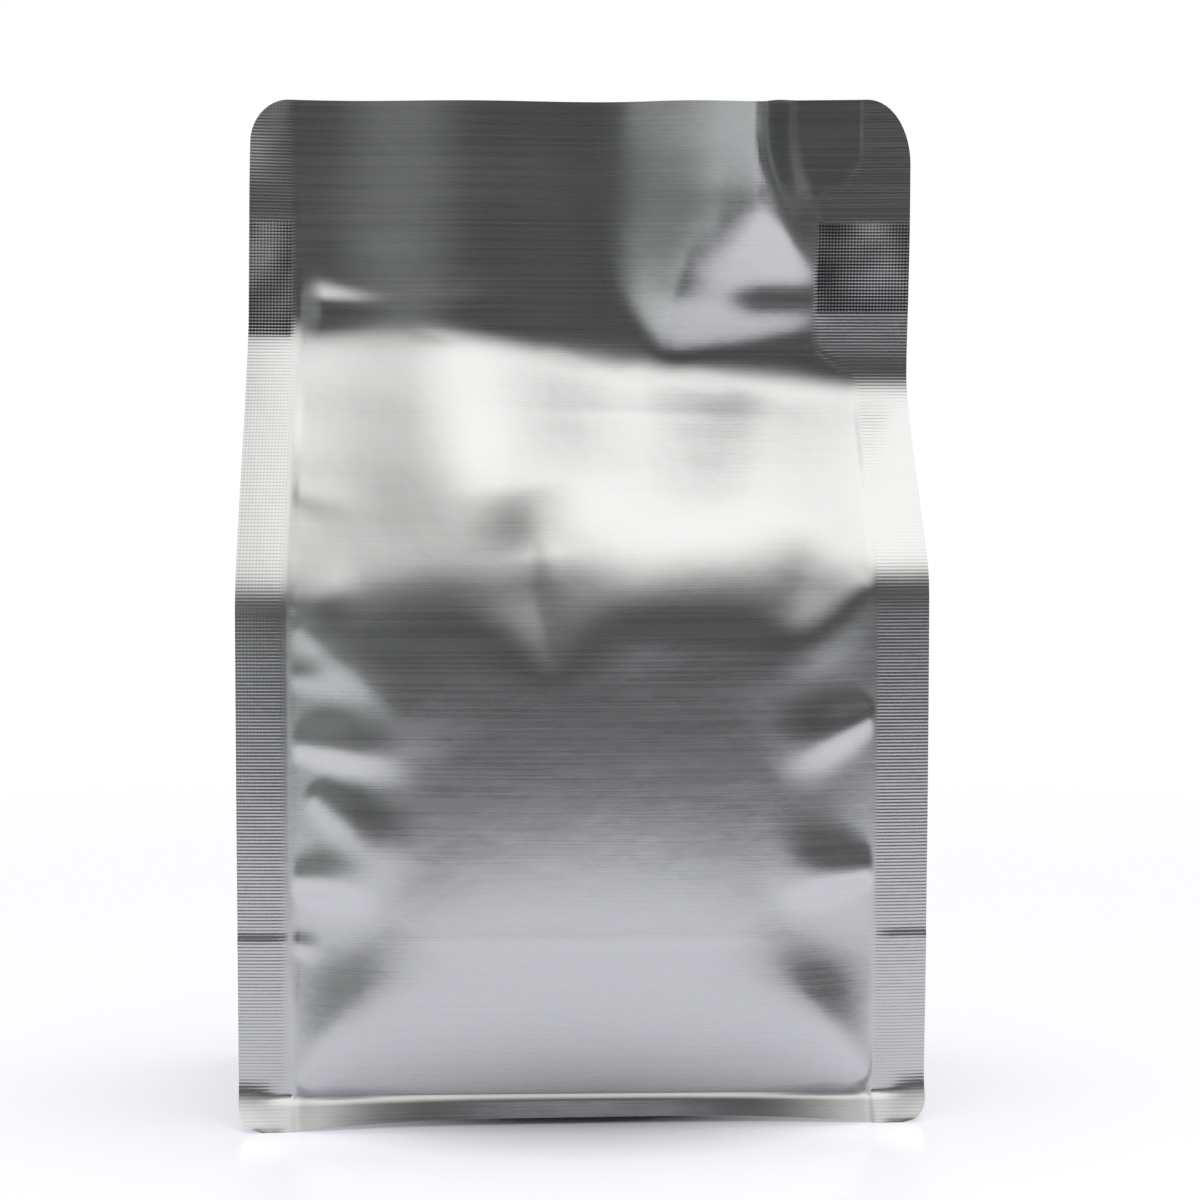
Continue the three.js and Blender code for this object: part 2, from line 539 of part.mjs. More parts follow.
// Joins the outlines and loops into one closed surface
function bagGeometry() {
  const vertices = [];
  const faces = [];
  const add = (points) => {
    const start = vertices.length;
    vertices.push(...points);
    return { points, start };
  };
  const join = (low, high) => {
    const count = low.points.length;
    for (let i = 0; i < count; i++) {
      const next = (i + 1) % count;
      const [a, b, c, d] = [low.start + i, low.start + next, high.start + next, high.start + i];
      faces.push([a, b, c], [a, c, d]);
    }
  };

  const rings = levels().map((level) => add(outline(level)));
  rings.slice(1).forEach((ring, i) => join(rings[i], ring));

  const top = rings.at(-1);
  for (const [a, b, c] of THREE.ShapeUtils.triangulateShape(flat(top.points), [])) {
    faces.push([top.start + a, top.start + b, top.start + c]);
  }

  // Under the bag: the skirt's edge, a groove behind it, and the flat base panel
  const lip = add(baseLoop(FILM, 0, 1));
  const groove = add(baseLoop(GROOVE_INSET, GROOVE_Z, 0));
  const base = add(baseLoop(BASE_INSET, 0, 0));
  const rim = rings[0];
  const rimIndex = [...rim.points.keys()].map((i) => rim.start + i);
  const lipIndex = [...lip.points.keys()].map((i) => lip.start + i);
  const edgeIndex = [...rimIndex, ...lipIndex.toReversed()];
  for (const [a, b, c] of THREE.ShapeUtils.triangulateShape(flat(rim.points), [flat(lip.points).reverse()])) {
    faces.push([edgeIndex[a], edgeIndex[c], edgeIndex[b]]);
  }
  join(groove, lip);
  join(base, groove);
  for (const [a, b, c] of THREE.ShapeUtils.triangulateShape(flat(base.points), [])) {
    faces.push([base.start + a, base.start + c, base.start + b]);
  }

  const geometry = new THREE.BufferGeometry();
  geometry.setAttribute('position', new THREE.Float32BufferAttribute(vertices.flatMap((p) => p.toArray()), 3));
  geometry.setIndex(faces.flat());
  geometry.computeBoundingBox();
  const middle = geometry.boundingBox.getCenter(new THREE.Vector3());
  geometry.translate(-middle.x, -middle.y, -geometry.boundingBox.min.z);
  geometry.computeVertexNormals();
  return geometry;
}

const foil = new THREE.MeshStandardMaterial({ color: 0xb9babd, metalness: 1, roughness: 0.35 });
const bag = new THREE.Mesh(bagGeometry(), foil);
bag.name = 'bag';

const part = new THREE.Group();
part.add(bag);

export default part;
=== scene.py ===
"""A flat bottom coffee bag of plain silver foil, standing shut and filled on a pale floor."""
import math

import bpy
import numpy as np
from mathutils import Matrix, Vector
from mathutils.geometry import tessellate_polygon


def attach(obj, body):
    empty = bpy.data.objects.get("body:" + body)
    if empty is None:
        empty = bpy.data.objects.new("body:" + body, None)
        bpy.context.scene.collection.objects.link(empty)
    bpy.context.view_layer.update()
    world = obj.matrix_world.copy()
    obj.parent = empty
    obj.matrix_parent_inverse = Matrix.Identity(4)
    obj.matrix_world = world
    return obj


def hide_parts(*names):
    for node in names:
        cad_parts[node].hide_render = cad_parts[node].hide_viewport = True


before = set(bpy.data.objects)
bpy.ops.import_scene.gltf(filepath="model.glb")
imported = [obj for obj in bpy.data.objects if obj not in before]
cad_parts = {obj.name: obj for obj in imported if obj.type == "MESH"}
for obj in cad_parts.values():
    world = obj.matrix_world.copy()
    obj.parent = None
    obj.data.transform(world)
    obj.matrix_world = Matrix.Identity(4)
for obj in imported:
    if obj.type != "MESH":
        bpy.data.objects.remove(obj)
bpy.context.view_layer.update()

MM = 0.001  # lengths below are in millimetres, and the scene is in metres

# Overall sizes
BAG_WIDTH = 140  # over the side seals
BAG_HEIGHT = 211.5  # standing height
BASE_DEPTH = 72  # from the front seals to the back seals at the base
SHOULDER_DEPTH = 78  # and at the shoulder
SEAL_WIDTH = 10.2  # of the four upright corner fins
FILM = 0.36  # two films pressed together in a seal

# Side profile: a wall that leans out, a sloping roof and a flat pressed top
SHOULDER_Z = 116.5
SHOULDER_ROUND = 4.4
SHOULDER_SAG_LEFT = {"from": 14, "to": 58, "drop": 8}  # lower and sharper beside the seals
SHOULDER_SAG_RIGHT = {"from": 34, "to": 60, "drop": 4}
SHOULDER_SHARPER = 2.4
NECK_Z = 162.8
NECK_DROP = 8.9  # the neck is level on the left, drops between two places, then falls evenly to the right
NECK_DROP_FROM, NECK_DROP_TO = -36, 14
NECK_FALL = 0.075
NECK_ROUND = 1.9
NECK_DEPTH = 3.8
TOP_DEPTH = 1.4
TOP_THINS = (165, 205)  # heights between which the pressed top thins out

# How far the panels swell past the seals
BELLY = 7
BELLY_POWER = 2.2  # how square the swelling is across the panel
FOOT_HEIGHT = 86  # height over which it grows from the crease
FOOT_POWER = 2.8
FOOT_ROUND = 1.2
ROOF_SWELL = 3.2
ROOF_CHANGES = (98, 132)  # heights between which the wall's swelling turns into the roof's
TOP_SWELL = 1.2
TOP_CHANGES = (138, 168)  # and the roof's into the pressed top's
TOP_FLATTENS = (185, 208)
TOP_FLAT = 0.02  # share of the swelling left at the free edge
GUSSET_SWELL = 4.5
GUSSET_SWELL_GROWS = (-8, 45)
GUSSET_SWELL_ENDS = (70, 104)
GUSSET_VALLEY = 33  # how deep the side gussets fold in under the roof
GUSSET_FOLDS_IN = (88, 164)
GUSSET_CLOSES = (156, 178)  # heights between which the gusset's layers come to lie pressed together
GUSSET_HOLD = 0.08  # share of its half depth in which a gusset's folds flatten out towards the seals
FIN_SPLAY = 0.6  # how far the fins' free edges lean back from the panel
FIN_SPLAY_GROWS = (2, 14)  # half depths between which they begin to

# Base: a sealed skirt that flares out and down from a crease, round a flat base panel
CREASE_Z = 6
CREASE_TILT = 0.006  # the crease runs lower to the right
CREASE_FADES = 40  # height over which the levels lose this tilt
CREASE_BULGE = 1.4  # the panel stands out just above the crease
CREASE_BULGE_GROWS = 3.5
CREASE_BULGE_ENDS = (40, 100)
CREASE_BULGE_SIDE = 14
SKIRT_LIP = 0.45
SKIRT_LIP_SHARE = 0.2
SKIRT_FLARE = 0.6
SKIRT_FLARE_LEFT = 6.2
SKIRT_FLARE_RIGHT = 5.6
SKIRT_FLARE_SIDE = 1.6
SKIRT_END = (0.7, 1)  # shares of the half depth between which the gusset's skirt turns into the corner's
FIN_FOOT_Z = 10  # height at which the fins begin to flare
FIN_FOOT_POWER = 1.6
FIN_FOOT_BLEND = 0.6  # share of a fin's width over which the skirt's flare turns into the fin's
SKIRT_LIFT = 1.4  # how far the skirt's edge clears the floor between the corners
SKIRT_CORNER = 5
GROOVE_Z = 3.4
GROOVE_INSET = 7
BASE_INSET = 9

# Free top edge
TOP_CORNER_LEFT = (8, 9)  # width and height
TOP_CORNER_RIGHT = (9.4, 14)
TOP_CORNER_HEIGHT = max(TOP_CORNER_LEFT[1], TOP_CORNER_RIGHT[1])
TOP_DIP = 0.8  # the edge sags between the corners
TOP_DIP_FROM = 170
TOP_BOW = 1.5  # and bows forward
TOP_BOW_FROM = 160
TOP_WAVE = 3.6  # the left half waves forward
TOP_WAVE_LENGTH = 60
TOP_WAVE_CREST = -22
TOP_WAVE_GROWS = (142, 170)
LEFT_CURL = 2  # the left edge curls back
LEFT_CURL_X = 60
LEFT_CURL_Z = 192
BENT_DIP = 0.007  # how much lower the edge is where it is bent forward, for each square millimetre

# Its right half is bent forward in two facets above a beak at the neck, with a flat lens between them
BEAK_X, BEAK_Z = 22, 157
BEAK_SLANT = 0.22
BEAK_LENGTH = 30
LENS_LOW, LENS_HIGH = 166.6, 171.8
LENS_TAPER = 2.6
LENS_TIP = (28, 39)
FACET_ROUND = 1.2
FACET_MOST = 1.5  # share of a facet's width beyond which it stays level
LOW_FACET = 0.38  # slope
LOW_FACET_TIP = 0.9  # share of this slope at the beak
LOW_FACET_LEFT = 8  # how far left of the beak it starts
LOW_FACET_SPREAD = 0.55  # and how much further for each millimetre up
LOW_FACET_FULL = -3  # how far right of the beak it is full
LOW_FACET_SHIFT = 6  # and how much further higher up
LOW_FACET_SHIFTS = (166, 200)
LOW_FLAT = 4.2  # what is left of its height at the top
LOW_FLATTENS = (175, 208)
LOW_FACET_ROUND = 0.3
HIGH_FACET = 0.34  # slope
HIGH_FACET_FROM, HIGH_FACET_TO = 13, 40
HIGH_FACET_SHIFT = 8  # how much further left it lies at the lens
HIGH_FACET_SHIFTS = (171, 195)
HIGH_FACET_TOP = 189
HIGH_FACET_EDGE = (49.5, 176.1, -1.1)  # a place on its slanting right edge, and the slope of that edge
HIGH_FACET_ROUND = 0.15
STREAK_SLOPE = 0.13  # of the band that runs on from the high facet to the top edge
RIGHT_LEAN = 0.13  # slope by which all of the right leans forward above the lens
RIGHT_LEAN_FROM = 173
RIGHT_LEAN_GROWS = (8, 30)
SEAL_FORWARD = 3.4  # how far the stiff right seal is bent
SEAL_FORWARD_GROWS = (149, 191)
SEAL_STIFF = (45, 55)
SEAL_STIFF_SHIFT = 9  # how much further left the stiff seal reaches at the top
SEAL_STIFF_SHIFTS = (174, 206)

# Seals: a wide pressed field beside the top right fin, and a cut across the front fins
WIDE_SEAL = 9.3
WIDE_SEAL_LOW = (151, 159.5)
WIDE_SEAL_HIGH = (190, 198.6)
WIDE_SEAL_EDGE = (-0.9, 0.1)
SEAM_GROOVE = 0.25  # depth of a soft groove beside the seals of the pressed top
SEAM_GROOVE_WIDTH = 4
SEAM_GROOVE_GROWS = (165, 190)
DEEP_KNURL = 3.2  # how much deeper the knurl is in the fields where the closure was pressed, where its valleys also get painted shade
DEEP_KNURL_LEFT = (161.6, 185.4)
DEEP_KNURL_RIGHT = (166.5, 185.3)
DEEP_KNURL_EDGE = 1  # height over which it sets in
SKIRT_KNURL = 0.25
CUT_Z = 39
CUT_HALF = 0.35
CUT_STEP = 0.3

# The filled bag stands a little twisted and leans to the right
BASE_YAW = math.radians(2.9)
LEAN = 1.6

# How finely the surface is split
FRONT_STEPS = 160
BACK_STEPS = 96
GUSSET_STEPS = 32
FIN_STEPS = 6
SKIRT_STEPS = 10
BODY_STEPS = 230
CORNER_STEPS = 14

HALF_WIDTH = BAG_WIDTH / 2
ROOT_X = HALF_WIDTH - SEAL_WIDTH
SEAL_HOLD = 2.2  # folds flatten out this close to a seal
STEEPEST = math.exp(-0.5)  # the steepest slope of a rounded fold of unit height and half width
SHARP_ANGLE = 55  # edges that turn by more degrees are sharp

# Photograph's camera, relative to the bag, with angles in degrees
VIEW_AZIMUTH = -1.0
VIEW_ELEVATION = 3.0
VIEW_DISTANCE = 620
VIEW_ANGLE = 23.48
VIEW_TARGET = (5.7, 0, 105)


def mix(low, high, share):
    """The value at a share of the way from low to high."""
    return low + (high - low) * share


def smooth(value, low, high):
    """Rises from nought at low to one at high, with level ends."""
    share = np.clip((value - low) / (high - low), 0, 1)
    return share * share * (3 - 2 * share)


def ramp(value, rounding):
    """Zero below nought and the value above it, with a rounded turn."""
    return rounding * np.logaddexp(0, value / rounding)


def soft_min(first, second, rounding):
    """The lesser of two values, with a rounded turn between them."""
    return 0.5 * (first + second - np.hypot(first - second, rounding))


def facet(z, low, high):
    """Height climbed between two levels, with rounded turns."""
    return ramp(z - low, FACET_ROUND) - ramp(z - high, FACET_ROUND)


def crease_z(x):
    """Height of the crease above the skirt."""
    return CREASE_Z - CREASE_TILT * x


def neck_z(x):
    """Height of the fold between the sloping roof and the pressed top."""
    drop = NECK_DROP * smooth(x, NECK_DROP_FROM, NECK_DROP_TO)
    return NECK_Z - drop - NECK_FALL * np.maximum(x - NECK_DROP_TO, 0)


PLEAT_TIP = 0.6  # half width of a pleat at its tip
PLEAT_FADE = 0.25  # share of its length at which it begins to die away
WEDGE_PEAK = 0.25


def pleat(start, end, above, below, slope, peak=0.1):
    """A fold that starts as a point at a seal and widens inwards, with a flank above and below its crest."""
    return {
        "start": start,
        "end": end,
        "above": (PLEAT_TIP, above),
        "below": (PLEAT_TIP, below),
        "slope": slope,
        "peak": peak,
        "fade": PLEAT_FADE,
    }


def wedge(start, end, above, below, slope):
    """A fold that is widest at a seal and narrows inwards."""
    return pleat(start, end, 0, 0, slope, WEDGE_PEAK) | {"above": above, "below": below}


def ridge(start, end, half, rise, peak=0.5, crest=0.5, fade=0.5):
    """A crest, or with a negative rise a crease, that dies away at both ends; crest is how rounded it is."""
    return {
        "start": start,
        "end": end,
        "above": half,
        "below": half,
        "rise": rise,
        "peak": peak,
        "fade": fade,
        "crest": crest,
    }


def bump(place, half, rise):
    """A round swelling, or with a negative rise a dent."""
    return {"place": place, "half": half, "rise": rise}


# Folds of the front panel, as (x, z) on the panel
FRONT_FOLDS = [
    # left pleats, from the shoulder down
    pleat((-60, 105), (-24, 76), 11.0, 6.0, 0.12),
    pleat((-60, 105.5), (-44, 112), 3.5, 4.0, 0.2),
    pleat((-60, 92), (-46, 91.5), 3.0, 3.0, 0.12),
    pleat((-60, 78.5), (-30, 76), 6.5, 4.0, 0.20),
    pleat((-56, 70), (-34, 51), 5.5, 4.5, 0.18),
    pleat((-60, 51), (-38, 50), 6.0, 4.2, 0.22),
    pleat((-60, 38), (-52, 36), 2.2, 1.6, 0.16),
    # right pleats
    pleat((60, 112), (30, 83), 6.0, 7.0, 0.16),
    pleat((60, 84.5), (36, 73.5), 6.5, 4.0, 0.22),
    pleat((60, 52), (36, 49.5), 7.5, 3.5, 0.24),
    # fans that rise from the two bottom corners, with a dent above each
    pleat((-60, 6), (-35, 42), 6.5, 14.0, 0.28),
    pleat((60, 6), (32, 42), 7.5, 14.0, 0.30),
    bump((-52, 38), (8, 9), -1.2),
    bump((50, 37), (9, 9), -1.2),
    # shoulder: a swelling, a dart pressed in beside it with a pinched crest inside, and a dart on the right
    bump((-24, 135), (14, 12), 4.6),
    ridge((-11, 131), (-6, 90), (9, 2.5), -5, 0.36, 0.8),
    ridge((-9, 129), (-5.5, 93), (5, 2.5), 2.2, 0.4, 0.6),
    bump((11, 106), (6, 7), 0.5),
    ridge((48, 124), (41, 99), (6, 3.5), -1.5, 0.45, 1),
    pleat((-60, 128.5), (-42, 126), 3.0, 3.0, 0.16),
    bump((-47, 143), (11, 5), -0.8),
    # soft dents and swellings of the roof
    bump((28, 138), (24, 9), -1.7),
    bump((43, 136), (9, 7), 0.5),
    bump((4, 140), (8, 7), -0.6),
    bump((-26, 148), (10, 6), 0.7),
    # faint level creases where the flat bag was folded
    ridge((-57, 146.5), (57, 144), (1, 1), 0.15),
    ridge((-57, 39), (57, 39), (1, 1), 0.12),
    # pressed top, beside the left seal
    wedge((-60, 168.6), (-36, 167.4), (3.2, 1.2), (5, 4), 0.42),
    bump((-44, 184), (9, 4), 0.3),
    bump((-32, 166), (14, 5), 0.9),
]

BACK_PLEATS = 4
BACK_PLEAT_LOW = 45
BACK_PLEAT_STEP = 16
BACK_PLEAT_LENGTH = 24
BACK_PLEAT_DROP = 4
BACK_PLEAT_SLOPE = 0.16


def back_folds():
    """Uneven pleats up both seals of the back, a fan from each bottom corner and darts in the shoulder."""
    folds = [
        ridge((14, 130), (11, 92), (9, 3.5), -3.2, 0.45, 1),
        ridge((13.5, 126), (11, 96), (3, 1.5), 1.2),
        ridge((-38, 124), (-33, 100), (7, 4), -1.8, 0.4, 1),
    ]
    for side in (-1, 1):
        seal = side * ROOT_X
        for step in range(BACK_PLEATS):
            phase = 2.4 * step + 1.3 * side
            z = BACK_PLEAT_LOW + step * BACK_PLEAT_STEP + side * 3 + 5 * math.sin(phase)
            length = BACK_PLEAT_LENGTH + 7 * math.cos(1.7 * phase)
            drop = BACK_PLEAT_DROP + 3 * math.cos(phase)
            slope = BACK_PLEAT_SLOPE + 0.07 * math.sin(2.1 * phase)
            folds.append(pleat((seal, z), (seal - side * length, z - drop), 5.5, 4, slope))
        folds.append(pleat((seal, 6), (seal - side * 29, 42), 8, 14, 0.24))
        folds.append(bump((side * 51, 38), (9, 9), -1.2))
    return folds


NECK_WRINKLES = ((-38, 16), (-9, 12), (8, 9), (19, 15))  # where each starts, and how long it is
NECK_WRINKLE_DROP = 3.5
NECK_WRINKLE_HALF = (1.2, 1.2)
NECK_WRINKLE_RISE = 0.16


def neck_wrinkles():
    """Short sharp wrinkles that run down from the neck fold."""
    wrinkles = []
    for x, length in NECK_WRINKLES:
        end = (x + length, neck_z(x) - NECK_WRINKLE_DROP)
        wrinkles.append(ridge((x, neck_z(x)), end, NECK_WRINKLE_HALF, NECK_WRINKLE_RISE, 0.4))
    return wrinkles


PANEL_FOLDS = {"front": FRONT_FOLDS + neck_wrinkles(), "back": back_folds()}

# Folds of a side gusset, as (distance from its middle, z)
GUSSET_FOLDS = [
    # the crease down the middle, from when the bag was flat, and a dart where the gusset turns in
    ridge((0, 150), (0, 2), (1.4, 1.4), -0.8, 0.35),
    ridge((3, 122), (1, 84), (7, 3), -1.6, 0.5, 1),
    # pleats and fans from the front and back seals
    pleat((36, 92), (14, 86), 4.5, 4.0, 0.14),
    pleat((36, 68), (18, 66), 4.0, 3.0, 0.13),
    pleat((36, 8), (14, 34), 6.0, 9.0, 0.18),
    pleat((-36, 98), (-12, 84), 5.0, 4.5, 0.15),
    pleat((-36, 76), (-20, 72), 4.0, 3.0, 0.14),
    pleat((-36, 50), (-18, 49), 4.0, 3.0, 0.12),
    pleat((-36, 8), (-16, 36), 6.0, 9.0, 0.18),
]


def half_depth(x, z):
    """Half the depth between the front and back seals."""
    neck = neck_z(x)
    left = smooth(-x, SHOULDER_SAG_LEFT["from"], SHOULDER_SAG_LEFT["to"])
    right = smooth(x, SHOULDER_SAG_RIGHT["from"], SHOULDER_SAG_RIGHT["to"])
    shoulder = SHOULDER_Z - SHOULDER_SAG_LEFT["drop"] * left - SHOULDER_SAG_RIGHT["drop"] * right
    turn = SHOULDER_ROUND - SHOULDER_SHARPER * (left + right)
    slope = (SHOULDER_DEPTH - NECK_DEPTH) / (neck - shoulder)
    foot = np.clip(1 - (z - CREASE_Z) / FOOT_HEIGHT, 0, 1)
    wall = SHOULDER_DEPTH - (SHOULDER_DEPTH - BASE_DEPTH) * foot**2
    roof = slope * (ramp(z - shoulder, turn) - ramp(z - neck, NECK_ROUND))
    pressed = (NECK_DEPTH - TOP_DEPTH) * smooth(z, *TOP_THINS)
    return (wall - roof - pressed) / 2


def crown(x, z):
    """How far the panel stands proud of its seals: a pillow that swells from the seals and the crease."""
    side = BELLY * (1 - np.abs(x / ROOT_X) ** BELLY_POWER)
    foot = BELLY * (1 - np.clip(1 - (z - crease_z(x)) / FOOT_HEIGHT, 0, 1) ** FOOT_POWER)
    pillow = soft_min(side, foot, FOOT_ROUND * smooth(ROOT_X - np.abs(x), 0, SEAL_HOLD))
    roof = mix(1, ROOF_SWELL / BELLY, smooth(z, *ROOF_CHANGES))
    top = mix(TOP_SWELL / BELLY, TOP_FLAT, smooth(z, *TOP_FLATTENS))
    return pillow * mix(roof, top, smooth(z, *TOP_CHANGES))


def fold_height(fold, x, z):
    """Height of one fold at places on a panel."""
    if "place" in fold:
        aside = (x - fold["place"][0]) / fold["half"][0]
        upwards = (z - fold["place"][1]) / fold["half"][1]
        away = aside**2 + upwards**2
        return fold["rise"] * np.exp(-0.5 * away)
    start, end = np.array(fold["start"], float), np.array(fold["end"], float)
    along = end - start
    length = np.hypot(*along)
    share = ((x - start[0]) * along[0] + (z - start[1]) * along[1]) / length**2
    above = ((z - start[1]) * along[0] - (x - start[0]) * along[1]) / length * np.sign(along[0])
    grown = np.clip(share, 0, 1) ** (0.5 if "slope" in fold else 1)
    upper = mix(*fold["above"], grown)
    half = np.where(above > 0, upper, mix(*fold["below"], grown))
    if "slope" in fold:
        rise = fold["slope"] * upper / STEEPEST
        profile = np.exp(-0.5 * (above / half) ** 2)
    else:
        rise = fold["rise"]
        crest = fold["crest"] * upper
        profile = np.exp(-(np.hypot(above, crest) - crest) / half)
    return rise * smooth(share, 0, fold["peak"]) * (1 - smooth(share, fold["fade"], 1)) * profile


def wide_seal(x, z):
    """One on the pressed field beside the top right fin, and nought elsewhere."""
    reach = WIDE_SEAL * smooth(z, *WIDE_SEAL_LOW) * (1 - smooth(z, *WIDE_SEAL_HIGH))
    return smooth(x - (ROOT_X - reach), *WIDE_SEAL_EDGE)


def panel_depth(panel, x, z):
    """Distance of the front or back panel from the bag's middle plane."""
    inside = ROOT_X - np.abs(x)
    held = smooth(inside, 0, SEAL_HOLD)
    grown = 1 - np.exp(-np.maximum(z - crease_z(x), 0) / CREASE_BULGE_GROWS)
    bulge = CREASE_BULGE * grown * (1 - smooth(z, *CREASE_BULGE_ENDS))
    groove = SEAM_GROOVE * np.exp(-inside / SEAM_GROOVE_WIDTH) * smooth(z, *SEAM_GROOVE_GROWS)
    folds = sum(fold_height(fold, x, z) for fold in PANEL_FOLDS[panel])
    swell = crown(x, z) + held * folds + smooth(inside, 0, CREASE_BULGE_SIDE) * bulge - groove
    pressed = wide_seal(x, z) if panel == "front" else 0
    return half_depth(x, z) + swell * (1 - pressed)


def gusset_out(side, share, z):
    """Sideways place of a gusset: swollen by the contents, folded in under the roof, with a crease."""
    place = np.abs(share)
    full = smooth(z, *GUSSET_SWELL_GROWS) * (1 - smooth(z, *GUSSET_SWELL_ENDS))
    out = GUSSET_SWELL * full * (1 - place**2)
    inwards = smooth(z, *GUSSET_FOLDS_IN) * (1 - smooth(z, *GUSSET_CLOSES))
    fold = GUSSET_VALLEY * inwards * (1 - place**3)
    across = side * share * BASE_DEPTH / 2
    folds = sum(fold_height(crease, across, z) for crease in GUSSET_FOLDS)
    return out - fold + folds * smooth(1 - place, 0, GUSSET_HOLD)


def top_fold(x, z):
    """How far the right of the pressed top is bent forward, in two facets and evenly at the stiff seal."""
    up = np.maximum(z - BEAK_Z, 0)
    start = BEAK_Z + BEAK_SLANT * np.clip(x - BEAK_X, 0, BEAK_LENGTH)
    right = smooth(x, *LENS_TIP)
    taper = LENS_TAPER * (1 - right)

    near = BEAK_X - LOW_FACET_LEFT - LOW_FACET_SPREAD * up
    far = BEAK_X + LOW_FACET_FULL + LOW_FACET_SHIFT * smooth(z, *LOW_FACET_SHIFTS)
    climbed = LOW_FACET * mix(LOW_FACET_TIP, 1, right) * facet(z, start, LENS_LOW + taper)
    low_share = np.clip((x - near) / (far - near), 0, FACET_MOST)
    low = mix(climbed, LOW_FLAT, smooth(z, *LOW_FLATTENS)) * soft_min(low_share**2, 1, LOW_FACET_ROUND)

    edge_x, edge_z, edge_slope = HIGH_FACET_EDGE
    end = np.clip(edge_z + edge_slope * (x - edge_x), edge_z, HIGH_FACET_TOP)
    streak = STREAK_SLOPE * ramp(z - HIGH_FACET_TOP, FACET_ROUND)
    rise = HIGH_FACET * facet(z, LENS_HIGH - taper, end) + streak
    first = HIGH_FACET_FROM - HIGH_FACET_SHIFT * (1 - smooth(z, *HIGH_FACET_SHIFTS))
    high_share = np.clip((x - first) / (HIGH_FACET_TO - HIGH_FACET_FROM), 0, FACET_MOST)
    lean = RIGHT_LEAN * ramp(z - RIGHT_LEAN_FROM, FACET_ROUND) * smooth(x, *RIGHT_LEAN_GROWS)
    high = rise * soft_min(high_share**2, 1, HIGH_FACET_ROUND) + lean

    stiff = smooth(x + SEAL_STIFF_SHIFT * smooth(z, *SEAL_STIFF_SHIFTS), *SEAL_STIFF)
    return mix(low + high, SEAL_FORWARD * smooth(z, *SEAL_FORWARD_GROWS), stiff)


def top_shift(x, z):
    """How far the pressed top stands behind the middle plane."""
    bow = -TOP_BOW * (1 - (x / HALF_WIDTH) ** 2) * smooth(z, TOP_BOW_FROM, BAG_HEIGHT)
    phase = np.minimum((x - TOP_WAVE_CREST) / TOP_WAVE_LENGTH, 0.5)
    wave = -TOP_WAVE * 0.5 * (1 + np.cos(phase * 2 * math.pi)) * smooth(z, *TOP_WAVE_GROWS)
    curl = LEFT_CURL * smooth(-x, LEFT_CURL_X, HALF_WIDTH) * smooth(z, LEFT_CURL_Z, BAG_HEIGHT)
    return bow + wave - top_fold(x, z) + curl


def corner_cut(side, above, below):
    """How much a fin is cut back by the rounded corner at its foot or its head."""
    width, height = TOP_CORNER_LEFT if side < 0 else TOP_CORNER_RIGHT
    foot = np.clip(1 - above / SKIRT_CORNER, 0, 1)
    head = np.clip(1 - below / height, 0, 1)
    foot_cut = SKIRT_CORNER * (1 - np.sqrt(1 - foot**2))
    head_cut = width * (1 - np.sqrt(1 - head**2))
    return np.maximum(foot_cut, head_cut)


def flare_at(x):
    """The skirt's flare at places along the front or back."""
    corner = np.where(x < 0, SKIRT_FLARE_LEFT, SKIRT_FLARE_RIGHT)
    return mix(SKIRT_FLARE, corner, np.abs(x / HALF_WIDTH) ** 3)


def skirt_out(x, down):
    """How far the skirt stands out: a small lip just under the crease, then evenly to its edge."""
    return SKIRT_LIP * smooth(down, 0, SKIRT_LIP_SHARE) + flare_at(x) * down


def skirt_z(x, share, down):
    """Height of a point part way down the skirt; share runs from the middle of that side to its ends."""
    edge = SKIRT_LIFT * (1 - np.minimum(1, np.abs(share)) ** 4)
    return mix(crease_z(x), edge, down)


def level_z(x, share, level, down):
    """Height of a point: on the skirt below the crease, or at the level's own height above it."""
    tilted = level + (crease_z(x) - CREASE_Z) * np.clip(1 - (level - CREASE_Z) / CREASE_FADES, 0, 1)
    return np.where(down > 0, skirt_z(x, share, down), tilted)


def settle(x, y, z):
    """Sets points of the straight bag where they are on the standing one: leaning, twisted, its top bent."""
    rise = np.clip(z / BAG_HEIGHT, 0, 1)
    turn = BASE_YAW * (1 - rise)
    bent = y + top_shift(x, z)
    sag = TOP_DIP * (1 - (x / HALF_WIDTH) ** 2) * smooth(z, TOP_DIP_FROM, BAG_HEIGHT)
    dip = sag + BENT_DIP * top_fold(x, z) ** 2
    placed_x = x * np.cos(turn) - bent * np.sin(turn) + LEAN * rise
    placed_y = x * np.sin(turn) + bent * np.cos(turn)
    return np.stack([placed_x, placed_y, z - dip], axis=-1)


def panel_places(side, steps):
    """Places across a panel towards one side, closer together near the seals."""
    share = np.linspace(-side, side, steps + 1)
    return ROOT_X * (1.3 * share - 0.3 * share**3)


def panel_grid(facing, x, level, down):
    """Points of the front (facing -1) or back (facing 1) panel, with their place across and their height."""
    z = level_z(x, x / ROOT_X, level, down)
    panel = "front" if facing < 0 else "back"
    depth = panel_depth(panel, x, np.maximum(z, crease_z(x))) + skirt_out(x, down)
    return settle(x, facing * depth, z), x, z


